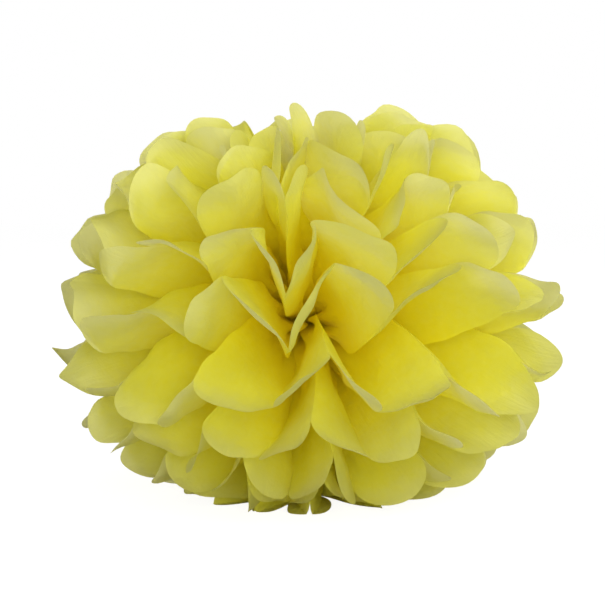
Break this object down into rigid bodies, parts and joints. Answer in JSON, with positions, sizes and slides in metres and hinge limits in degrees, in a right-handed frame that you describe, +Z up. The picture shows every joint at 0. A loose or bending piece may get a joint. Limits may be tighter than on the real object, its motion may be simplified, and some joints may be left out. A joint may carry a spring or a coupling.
{
  "type": "tissue paper pom pom",
  "caption": "Round party decoration of pleated tissue sheets with rounded ends, gathered at the middle by a twist of wire and fanned out into a ball.",
  "frame": {"origin": "on the table, under the middle of the pom pom's outline", "axes": "+Z up along the axis the fans turn round; the front fan faces -Y and the slits between the fans lie along X"},
  "size_m": [0.2472, 0.2519, 0.1913],
  "materials": {
    "tissue": "matt, thin enough for light to pass through",
    "wire": "dull"
  },
  "bodies": {
    "root": {"sheet_01": "tissue", "sheet_02": "tissue", "sheet_03": "tissue", "sheet_04": "tissue", "sheet_05": "tissue", "sheet_06": "tissue", "sheet_07": "tissue", "sheet_08": "tissue", "sheet_09": "tissue", "sheet_10": "tissue", "tie_wire": "wire"}
  },
  "joints": []
}
